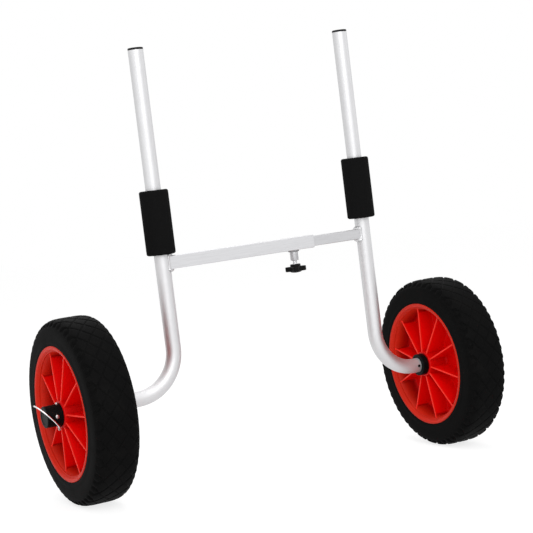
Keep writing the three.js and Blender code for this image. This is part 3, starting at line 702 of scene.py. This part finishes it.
# Axle ends
hubHalf = 38.0
collar = {"bore": 13.0, "radius": 19.0, "length": 11.8, "edges": (0.3, 1.2, 0.5, 0.2), "gap": 0.3,
          "sides": 64}
sleeve = {"bore": 13.0, "radius": 17.6, "tipRadius": 17.15, "taperFrom": 30, "end": 64.6, "wall": 3.0,
          "edge": 1.3, "inboardEdge": 0.3, "lip": 12.5, "dish": 12.1, "dishDepth": 0.5, "dishEdge": 0.4,
          "dishRing": 2, "draft": 0.02, "holeFloor": 0.4, "holeEdge": 0.5, "step": 6, "fineStep": 0.4,
          "fineReach": 4, "turnStep": 0.1, "fineTurn": 0.22, "seam": 0.02, "bendSteps": 5}
pin = {"x": 41.3, "hole": 2.6, "radius": 2.2, "head": 3.0, "headThick": 2.2, "top": 20.1, "headTop": -17.8,
       "headEdge": 0.5, "tipEdge": 1.3, "corner": 0.1, "neck": 1.6, "neckShare": 0.8, "neckEdge": 0.3,
       "sides": 36, "eyeDrop": 2.6, "eyeRadius": 2.05, "eyeWire": 0.62, "eyeHalf": 1.1, "eyeSides": 40,
       "wireSides": 16}
rivets = {"sleeve": {"x": 48.5, "seat": 17.35, "head": 3.2, "height": 1.5, "shank": 1.8, "grip": 6.5},
          "stop": {"x": -55.3, "seat": 12.7, "head": 2.6, "height": 1.3, "shank": 1.5, "grip": 2.0},
          "lift": 0.1, "brim": 0.3, "arc": (0, 15, 30, 45, 60, 72), "sides": 40,
          "dimple": ((0.24, 0.05), (0.22, 0.5), (0.18, 0.55), (0.14, 0.35), (0, 0.3))}
bow = {"wire": 1.2, "tail": 4.6, "chord": 56.7, "reach": 20.3, "tilt": 40.68, "steps": 60, "tailSteps": 6,
       "endArc": (90, 65, 40, 20), "sides": 20}
pinHead = pin["headTop"] - pin["headThick"]
pinEye = pinHead - pin["eyeDrop"]


def axleCollar(side):
    # A turned ring just inboard of the wheel's hub
    end = -hubHalf - collar["gap"]
    profile = ringProfile(collar["bore"], collar["radius"], end - collar["length"], end, collar["edges"])
    return makePiece(side + "AxleCollar", [shell(turned(profile, collar["sides"], "x"), True)],
                     axlePlace[side], side + "_axle_collar", looks["nylon"])


def unevenSteps(start, end, coarse, fine, middles, reach):
    # Values from start to end that are close together near each middle and further apart elsewhere
    values, at = [start], start
    while at < end - fine:
        near = min(abs(at - middle) for middle in middles)
        at = min(end, at + (fine if near < reach else coarse))
        values.append(at)
    return np.array(values)


def axleSleeve(side):
    # A turned sleeve whose skin dips into a pit above and below: depth * smoothstep of the distance from
    # the pin's line. Its grid is finer round the pits
    tip, end, edge, lowEdge = sleeve["tipRadius"], sleeve["end"], sleeve["edge"], sleeve["inboardEdge"]
    fine = sleeve["fineStep"]
    x = unevenSteps(-hubHalf, end - edge, sleeve["step"], fine, [pin["x"]], sleeve["fineReach"])
    angle = unevenSteps(-np.pi / 2, 1.5 * np.pi - sleeve["seam"], sleeve["turnStep"],
                        fine / sleeve["radius"], [0, np.pi], sleeve["fineTurn"])[:-1]
    taper = rise(x, sleeve["taperFrom"], end - sleeve["taperFrom"])
    skin = sleeve["radius"] + (tip - sleeve["radius"]) * taper
    off = np.minimum(np.abs(angle), np.abs(angle - np.pi))
    distance = np.hypot(x[:, None] - pin["x"], sleeve["radius"] * off[None])
    dip = smooth(rise(distance, pin["hole"] + sleeve["holeEdge"] / 2, -sleeve["holeEdge"]))
    radius = skin[:, None] - (sleeve["radius"] - sleeve["bore"] - sleeve["holeFloor"]) * dip
    cross, up = np.sin(angle), np.cos(angle)
    body = np.stack([np.repeat(x[:, None], len(angle), 1), radius * cross, radius * up], -1)

    def rings(profile):
        return np.stack([np.repeat(profile[:, 1:2], len(angle), 1), profile[:, :1] * cross,
                         profile[:, :1] * up], -1)

    dishX, dishEdge = end - sleeve["dishDepth"], sleeve["dishEdge"]
    nose = rounded([(tip + sleeve["draft"], end - edge), (tip, end, edge), (sleeve["lip"], end, dishEdge),
                    (sleeve["dish"], dishX, dishEdge), (sleeve["dishRing"], dishX, 0), (0, dishX)],
                   sleeve["bendSteps"])
    bore = np.array([(0, end - sleeve["wall"]), (sleeve["bore"], end - sleeve["wall"]),
                     (sleeve["bore"], -hubHalf + lowEdge), (sleeve["bore"] + lowEdge, -hubHalf),
                     (sleeve["radius"] - lowEdge, -hubHalf)])
    points = np.concatenate([rings(bore), body, rings(nose[1:])])
    return makePiece(side + "AxleSleeve", [shell(points)], axlePlace[side], side + "_axle_sleeve",
                     looks["nylon"], 45)


def blindRivet(side, kind, node, slot):
    # A domed head, brim + (height - brim) * sin a high, with the break of its stem in a small dimple,
    # turned about a line to the cart's front
    size = rivets[kind]
    head, shank, end = size["head"], size["shank"], size["seat"] - size["grip"]
    foot = size["seat"] + rivets["lift"]
    top = foot + size["height"]
    dome = [(head * np.cos(a), foot + rivets["brim"] + (size["height"] - rivets["brim"]) * np.sin(a))
            for a in np.radians(rivets["arc"])]
    dimple = [(head * share, top - depth) for share, depth in rivets["dimple"]]
    profile = [(0, end), (shank, end), (shank, foot), (head, foot), *dome, *dimple]
    points = turned(profile, rivets["sides"], "y") * [1, -1, 1] + [size["x"], 0, 0]
    look = looks["pin" if slot == "steel" else slot]
    return makePiece(side + kind.capitalize() + "Rivet", [shell(points)], axlePlace[side], node, look)


def lockPin(side):
    # A turned pin with a head near its lower end, and under it an eye: a ring of flattened wire,
    # (radius + wire * cos b) round the eye and half * sin b across it
    radius, head, headTop, neckEnd = pin["radius"], pin["head"], pin["headTop"], pinEye + pin["neck"]
    corner, headEdge = pin["corner"], pin["headEdge"]
    profile = rounded([(0, neckEnd), (radius * pin["neckShare"], neckEnd, pin["neckEdge"]),
                       (radius, pinHead, corner), (head, pinHead, headEdge), (head, headTop, headEdge),
                       (radius, headTop, corner), (radius, pin["top"], pin["tipEdge"]), (0, pin["top"])])
    stem = turned(profile, pin["sides"])
    around, about = goingRound(pin["eyeSides"])[:, None], goingRound(pin["wireSides"])[None]
    ring = pin["eyeRadius"] + pin["eyeWire"] * np.cos(about)
    eye = np.stack([ring * np.cos(around), pin["eyeHalf"] * np.sin(about) + 0 * around,
                    ring * np.sin(around) + pinEye], -1)
    place = axlePlace[side].moved(pin["x"], 0, 0)
    return makePiece(side + "LockPin", [shell(stem), shell(eye, True)], place, side + "_lock_pin",
                     looks["pin"], 45)


def pinBow(side):
    # A round wire along a tail and half an ellipse, y = reach sin t and z = chord (1 - cos t) / 2, with its
    # ends rounded off
    t = np.linspace(0, np.pi, bow["steps"])
    tail = np.linspace(-bow["tail"], 0, bow["tailSteps"])[:-1]
    y = np.concatenate([tail, bow["reach"] * np.sin(t)])
    z = np.concatenate([0 * tail, bow["chord"] * (1 - np.cos(t)) / 2])
    line = np.stack([y, z], -1)
    heading = np.gradient(line, axis=0)
    heading /= np.linalg.norm(heading, axis=1)[:, None]
    cap = np.radians(bow["endArc"])
    first = line[0] - bow["wire"] * np.sin(cap)[:, None] * heading[0]
    last = line[-1] + bow["wire"] * np.sin(cap[::-1])[:, None] * heading[-1]
    radius = bow["wire"] * np.concatenate([np.cos(cap), np.ones(len(line)), np.cos(cap[::-1])])
    radius[[0, -1]] = 0
    line = np.concatenate([first, line, last])
    heading = np.concatenate([np.repeat(heading[:1], len(cap), 0), heading,
                              np.repeat(heading[-1:], len(cap), 0)])
    tilt = np.radians(bow["tilt"])
    front = -1 if side == "left" else 1  # which way the arch goes, to the front or to the back
    slant = np.array([np.sin(tilt), 0, np.cos(tilt)])
    over = np.array([0.0, front, 0.0])
    path = line[:, :1] * over + line[:, 1:] * slant
    inPlane = -heading[:, 1:] * over + heading[:, :1] * slant
    aside = np.repeat([[np.cos(tilt), 0, -np.sin(tilt)]], len(path), 0)
    points = carried(path, inPlane, aside, radius[:, None, None] * circle(1.0, bow["sides"]))
    return makePiece(side + "PinBow", [shell(points)], axlePlace[side].moved(pin["x"], 0, pinEye),
                     side + "_pin_bow", looks["steel"], 60)


for side in sidePlace:
    axleCollar(side)
    axleSleeve(side)
    blindRivet(side, "sleeve", side + "_sleeve_rivet", "steel")
    blindRivet(side, "stop", side + "_stop_rivet", "nylon")
    lockPin(side)
    pinBow(side)
print("axle ends made")


# Wheels
rim = {"bore": 17.8, "hub": 21.8, "hubFoot": 24.0, "face": 38.0, "web": 2.5, "webMiddle": 60,
       "wallFoot": 94.4, "wall": 96.0, "wallBend": 24.0, "lipInner": 103.8, "lip": 109.0, "lipFace": 38.2,
       "flange": 33.6, "bed": 100.0, "boreFrom": 2, "bedTo": 10, "boreEdge": 0.5, "hubEdge": 1.7,
       "hubFillet": 4, "wallFillet": 8, "wallCurve": 40, "lipCurve": 5.5, "lipEdge": 1.6,
       "flangeEdge": 1.6, "bedEdge": 0.5, "bendSteps": 7, "longest": 6, "leftTurn": 19.08,
       "rightTurn": 5.4}
rib = {"count": 10, "atHub": (21.0, 36.8), "atWall": (97.8, 30.2), "shortOfLip": 3, "top": 1.25,
       "draft": 0.022, "edge": 0.7, "foot": 1.6, "arc": (0, 30, 60, 90), "side": (0.05, 0.36, 0.68),
       "pocket": (0.25, 0.5, 0.75, 1.0), "least": 0.5}
# Where the rim's painted light goes: painted highlights on the ribs' edges and the lip, painted sheen and shade on
# the walls, and painted shade in the pockets' corners and round the hub
paintedLight = {"rib": 2.0, "lip": 1.4, "lipReach": 1.6, "lipDepth": 1.5, "wallRadius": 91, "wallFrom": 4,
        "wallOver": 14, "cornerFrom": 30, "cornerOver": -26, "cornerRadius": 90.5, "cornerReach": 4,
        "hub": 0.4, "hubRadius": 29, "hubReach": -6}
tyre = {"radius": 149.9, "half": 37.4, "base": 113.0, "squareness": 4.6, "seat": 100.3, "overLip": 109.3,
        "wallEnd": 37.3, "flange": 33.3, "seatEdge": 0.8, "seatSteps": 3, "bead": 0.7, "beadAt": 114.2,
        "beadWidth": 2.2, "beadFrom": 0.97, "samples": 40001, "wallRows": 10, "wallGap": 0.01,
        "leftTurn": 4.08, "rightTurn": 7.92}
tread = {"pitches": 30, "perPitch": 24, "diamondHalf": 12.5, "depth": 2.5, "shape": (1.0, 0.94, 0.14, 0.0),
         "crownShare": 0.5, "crownTo": 20, "crownOver": 12, "shoulderShare": 0.8, "shoulderFrom": 26,
         "shoulderOver": 12, "straightFrom": 31.25, "fadeFrom": 37.0, "fadeTo": 41.0}


def rimFace():
    # The pocket's line from the bore over the hub, down to the web and up to the lip, as (radius, x) points
    return rounded([(rim["bore"], rim["boreFrom"]), (rim["bore"], rim["face"], rim["boreEdge"]),
                    (rim["hub"], rim["face"], rim["hubEdge"]),
                    (rim["hubFoot"], rim["web"], rim["hubFillet"]), (rim["webMiddle"], rim["web"], 0),
                    (rim["wallFoot"], rim["web"], rim["wallFillet"]),
                    (rim["wall"], rim["wallBend"], rim["wallCurve"]),
                    (rim["lipInner"], rim["lipFace"], rim["lipCurve"]),
                    (rim["lip"], rim["lipFace"], rim["lipEdge"]),
                    (rim["lip"], rim["flange"], rim["flangeEdge"]),
                    (rim["bed"], rim["flange"], rim["bedEdge"]), (rim["bed"], rim["bedTo"])],
                   rim["bendSteps"])


def withStations(line, longest):
    # The same line with extra points so that no step is longer than the longest
    out = [line[:1]]
    for here, after in zip(line, line[1:]):
        steps = max(1, int(np.ceil(np.linalg.norm(after - here) / longest)))
        out.append(here + (after - here) * (np.arange(1, steps + 1) / steps)[:, None])
    return np.concatenate(out)


def rimSurface(turnDegrees):
    # At each point of the line the ring rises from the pocket to the rib's top over every rib:
    # x = floor + height, at the angle asin(distance / radius) from the rib's middle. Height and distance
    # follow half a rib's section: a rounded top, a drafted side and a foot. The marks are painted light:
    # the first is 1 on the walls for painted sheen and shade, 1.4 on the lip's inner edge and 2 on the
    # ribs' edges for painted highlights; the second is 1 in the pockets' corners and up to 0.4 round the
    # hub, for painted shade
    line = withStations(rimFace(), rim["longest"])
    radius, floor = line[:, :1], line[:, 1:]
    (hubRadius, hubTop), (wallRadius, wallTop) = rib["atHub"], rib["atWall"]
    top = hubTop + (wallTop - hubTop) * (radius - hubRadius) / (wallRadius - hubRadius)
    beyond = np.maximum.accumulate(radius) > rim["lipInner"] - rib["shortOfLip"]
    span = np.where(beyond | (floor > top) | (radius < rim["hub"]), 0, np.maximum(top - floor, 0))
    edge, foot = np.minimum(rib["edge"], span / 2), np.minimum(rib["foot"], span / 2)
    half, spread = rib["top"], rib["top"] + rib["draft"] * span
    arc, side, pocket = np.radians([rib["arc"]]), np.array([rib["side"]]), np.array([rib["pocket"]])
    distance = np.concatenate([0 * span, half - edge + edge * np.sin(arc), half + (spread - half) * side,
                               spread + foot * (1 - np.cos(arc))], 1)
    height = np.concatenate([span, span - edge * (1 - np.cos(arc)),
                             span - edge - (span - edge - foot) * side, foot * (1 - np.sin(arc))], 1)
    angle = np.arcsin(distance / radius)
    pitch = np.pi / rib["count"]
    angle = np.concatenate([angle, angle[:, -1:] + (pitch - angle[:, -1:]) * pocket], 1)
    level = np.zeros((len(line), pocket.size))
    onRib = np.concatenate([height > span - edge * 1.01, level > 0], 1) & (span > rib["least"])

    def everyRib(values):  # the other half of the pitch, back to the next rib, and so on for every rib
        return np.tile(np.concatenate([values, values[:, -2:0:-1]], 1), (1, rib["count"]))

    x, onRib = everyRib(floor + np.concatenate([height, level], 1)), everyRib(onRib)
    angle = np.concatenate([angle, 2 * pitch - angle[:, -2:0:-1]], 1)
    angle = np.concatenate([angle + 2 * pitch * index for index in range(rib["count"])], 1)
    angle = angle + np.radians(turnDegrees)
    # Painted light: sheen and shade on the walls, highlights on the lip's inner edge and the ribs' edges
    onWall = rise(floor, paintedLight["wallFrom"], paintedLight["wallOver"]) * (radius > paintedLight["wallRadius"])
    onLip = np.abs(radius - rim["lipInner"]) < paintedLight["lipReach"]
    onLip = onLip & (floor > rim["lipFace"] - paintedLight["lipDepth"])
    paintedSheen = np.where(onRib, paintedLight["rib"], np.where(onLip, paintedLight["lip"], onWall))
    # Painted shade in the pockets' corners and on the hub's face, which the axle sleeve shades
    atWall = rise(floor, paintedLight["cornerFrom"], paintedLight["cornerOver"])
    atWall = atWall * rise(radius, paintedLight["cornerRadius"], paintedLight["cornerReach"])
    atHub = paintedLight["hub"] * rise(radius, paintedLight["hubRadius"], paintedLight["hubReach"])
    paintedShade = np.where(onRib | (radius > rim["lipInner"]), 0.0, atWall + atHub)
    face = np.stack([x, radius * np.sin(angle), radius * np.cos(angle)], -1)
    marks = {mark: np.concatenate([values, values[::-1]])
             for mark, values in (("paintedSheen", paintedSheen), ("paintedShade", paintedShade))}
    return np.concatenate([face, face[::-1] * [-1, 1, 1]]), marks


def tyreSection():
    # A squared ellipse by arc length from the crown's middle: r = base + (radius - base) cos(a)^(2/n) and
    # x = half sin(a)^(2/n), with a low ring beside the rim, bead * exp(-((r - beadAt) / beadWidth)^2)
    a = np.linspace(0, 1, tyre["samples"]) ** 2 * np.pi / 2
    power = 2 / tyre["squareness"]
    x = tyre["half"] * np.sin(a) ** power
    r = tyre["base"] + (tyre["radius"] - tyre["base"]) * np.cos(a) ** power
    beside = x > tyre["half"] * tyre["beadFrom"]
    x = x + tyre["bead"] * np.exp(-((r - tyre["beadAt"]) / tyre["beadWidth"]) ** 2) * beside
    length = np.concatenate([[0], np.cumsum(np.hypot(np.diff(x), np.diff(r)))])
    return length, x, r


def grooves(at, step, columns):
    # Crossing grooves run along a = k + 1/2 and b = k + 1/2, where a and b are s/pitch plus and minus
    # w/width, for the distance s round the tread and w across it. Beyond straightFrom they run straight
    # across the shoulder, where they are wider and deeper. The results are the depths, and where a quad's
    # diagonal lies along a groove of the first family
    perPitch, shape = tread["perPitch"], tread["shape"]
    straight = tread["straightFrom"] / step
    i, j = np.arange(columns)[None], np.clip(np.round(at / step), -straight, straight)[:, None]

    def toGroove(k):  # how many columns away the nearest groove's middle line is
        return perPitch / 2 - np.abs(np.mod(k + perPitch / 2, perPitch) - perPitch / 2)

    stepsA, stepsB = toGroove(i + j), toGroove(i - j)
    away = np.abs(at)
    widen = 1 + tread["shoulderShare"] * rise(away, tread["shoulderFrom"], tread["shoulderOver"])[:, None]
    depth = np.maximum(*[np.interp(steps / widen, range(len(shape)), shape) for steps in (stepsA, stepsB)])
    fade = smooth(rise(away, tread["fadeTo"], tread["fadeFrom"] - tread["fadeTo"]))
    full = rise(away, tread["crownTo"], tread["crownOver"])
    crown = tread["crownShare"] + (1 - tread["crownShare"]) * full
    depth = depth * (crown * fade)[:, None] * tread["depth"]
    return depth, (np.roll(stepsA, -1, 1)[:-1] <= stepsB[:-1]).ravel()


def tyreSurface(turnDegrees):
    # The section goes round the axle, less the grooves' depth along its normal. Each quad of the tread is
    # cut along the grooves, so that they are sharp
    length, lineX, lineR = tyreSection()
    step = 2 * tread["diamondHalf"] / tread["perPitch"]
    rows = int(tread["fadeTo"] / step) + 1
    treadAt = np.arange(-rows, rows + 1) * step
    wallAt = np.linspace(rows * step, length[-1] - tyre["wallGap"], tyre["wallRows"])[1:]
    at = np.concatenate([-wallAt[::-1], treadAt, wallAt])
    x = np.sign(at) * np.interp(np.abs(at), length, lineX)
    r = np.interp(np.abs(at), length, lineR)
    heading = np.stack([np.gradient(x), np.gradient(r)], -1)
    heading /= np.linalg.norm(heading, axis=1)[:, None]
    columns = tread["pitches"] * tread["perPitch"]
    depth, alongA = grooves(at, step, columns)
    cutX, cutR = x[:, None] + heading[:, 1:] * depth, r[:, None] - heading[:, :1] * depth
    angle = np.arange(columns)[None] / columns * 2 * np.pi + np.radians(turnDegrees)
    outside = np.stack([cutX, -cutR * np.sin(angle), cutR * np.cos(angle)], -1)
    over, flange, seat, edge = tyre["overLip"], tyre["flange"], tyre["seat"], tyre["seatEdge"]
    lining = rounded([(over, tyre["wallEnd"]), (over, flange, edge), (seat, flange, edge), (seat, 0),
                      (seat, -flange, edge), (over, -flange, edge), (over, -tyre["wallEnd"])],
                     tyre["seatSteps"])
    inside = np.stack([np.repeat(lining[:, 1:], columns, 1), -lining[:, :1] * np.sin(angle),
                       lining[:, :1] * np.cos(angle)], -1)
    points = np.concatenate([outside, inside])
    quads = gridFaces(*points.shape[:2], closedAlong=True)
    skinned = (len(at) - 1) * columns
    p, q, t, u = quads[:skinned].T
    first = np.stack([p, q, np.where(alongA, u, t)], -1)
    second = np.stack([np.where(alongA, q, p), t, u], -1)
    faces = np.concatenate([first[:, [0, 1, 2, 2]], second[:, [0, 1, 2, 2]], quads[skinned:]])
    return points.reshape(-1, 3), faces


for side in sidePlace:
    points, marks = rimSurface(rim[side + "Turn"])
    makePiece(side + "WheelRim", [shell(points, True)], axlePlace[side], side + "_wheel_rim", looks["rim"],
              32, marks)
    makePiece(side + "Tyre", [tyreSurface(tyre[side + "Turn"])], axlePlace[side], side + "_tyre",
              looks["tyre"], 70)
print("wheels made")


# Studio
studio = {"floorSize": 30.0, "floorDrop": 0.0005, "floorGlow": 0.78, "floorShare": 0.42, "worldLight": 0.52,
          "paper": {"colour": (0.9, 0.9, 0.9), "roughness": 0.9}}
photoCamera = {"focal": 1528.61, "pixels": 533, "sensor": 36, "azimuth": 28.33, "elevation": 3.52,
               "roll": -7.02, "shift": (25.70, 178.23, 2601.6)}
lamps = {  # power, size, place and what it points at
    "keyLamp": (56, 2.4, (-1.1, -2.9, 1.9), (0, 0, 0.35)),
    "leftLamp": (6, 1.8, (-2.9, -0.7, 0.8), (0, 0, 0.3)),
    "rightLamp": (6, 2.0, (2.6, -0.9, 1.4), (0, 0, 0.35)),
    "backLamp": (10, 2.0, (0.6, 2.5, 2.2), (0, 0, 0.35)),
    "topLamp": (15, 1.6, (0.0, -0.2, 2.6), (0, 0, 0.3)),
}


def studioWorld():
    # White for what the camera and reflections see, softer as a light
    world = bpy.data.worlds.new("studioWorld")
    bpy.context.scene.world = world
    world.use_nodes = True
    graph = Graph(world.node_tree)
    strength = graph.node("ShaderNodeMapRange", {}, {"Value": graph.whiteRays(), "To Max": 1.0,
                                                     "To Min": studio["worldLight"]})
    background = graph.tree.nodes["Background"]
    graph.connect(background.inputs["Color"], (1, 1, 1))
    graph.connect(background.inputs["Strength"], strength)


def studioFloor():
    # A pale floor. To the camera it is a lit share, which keeps the shadow, and for the rest a plain glow:
    # share * paper + (1 - share) * glow
    half, lit = studio["floorSize"] / 2, studio["floorShare"]
    mesh = bpy.data.meshes.new("floor")
    corners = [(-half, -half, 0), (half, -half, 0), (half, half, 0), (-half, half, 0)]
    mesh.from_pydata(corners, [], [(0, 1, 2, 3)])
    floor = bpy.data.objects.new("floor", mesh)
    bpy.context.scene.collection.objects.link(floor)
    floor.location.z = -studio["floorDrop"]
    look = Look("floorPaper", studio["paper"])
    paper = Signal(look, look.shader.outputs[0])
    glow = look.node("ShaderNodeEmission", {},
                     {"Color": (1, 1, 1), "Strength": studio["floorGlow"] / (1 - lit)})
    shown = look.node("ShaderNodeMixShader", {}, {0: look.whiteRays() * (1 - lit), 1: paper, 2: glow})
    look.connect(look.tree.nodes["Material Output"].inputs["Surface"], shown)
    mesh.materials.append(look.material)


def stand(name, data, turn, at):
    # Puts a lamp or camera at a point, with the columns of turn as its own axes
    holder = bpy.data.objects.new(name, data)
    bpy.context.scene.collection.objects.link(holder)
    holder.matrix_world = Matrix([[*turn[row], at[row]] for row in range(3)] + [[0, 0, 0, 1]])
    return holder


def lamp(name, energy, size, at, towards):
    # A square lamp whose own z axis points back from what it lights
    light = bpy.data.lights.new(name, "AREA")
    light.energy, light.size = energy, size
    back = np.array(at, float) - np.array(towards, float)
    back /= np.linalg.norm(back)
    level = np.cross([0, 0, 1], back)
    level /= np.linalg.norm(level)
    stand(name, light, np.stack([level, np.cross(back, level), back], 1), at)


def spin(first, second, degrees):
    # Turns the first axis towards the second: cos and sin of the angle in those two rows and columns
    angle, matrix = np.radians(degrees), np.eye(3)
    matrix[[first, second], [first, second]] = np.cos(angle)
    matrix[second, first], matrix[first, second] = np.sin(angle), -np.sin(angle)
    return matrix


def studioCamera():
    # The camera that the photograph's measured edges give, turned from the fit's axes into the model's
    level = np.array([[1, 0, 0], [0, 0, -1], [0, 1, 0]], float)
    look = (spin(0, 1, photoCamera["roll"]) @ spin(1, 2, photoCamera["elevation"]) @ level
            @ spin(0, 1, photoCamera["azimuth"]))
    fitted = leftWheel.moved(cart["leftReach"] + cart["postGap"] / 2, 0, 0)
    eye = fitted.toRow(-look.T @ np.array(photoCamera["shift"]))
    axes = look @ fitted.axes
    data = bpy.data.cameras.new("photoCamera")
    data.sensor_width = photoCamera["sensor"]
    data.lens = photoCamera["focal"] / photoCamera["pixels"] * photoCamera["sensor"]
    data.clip_end = 100
    turn = np.stack([axes[0], -axes[1], -axes[2]], 1)
    bpy.context.scene.camera = stand("photoCamera", data, turn, eye)


studioWorld()
studioFloor()
for name, values in lamps.items():
    lamp(name, *values)
studioCamera()
bpy.context.scene.view_settings.view_transform = "Standard"
print("studio made")
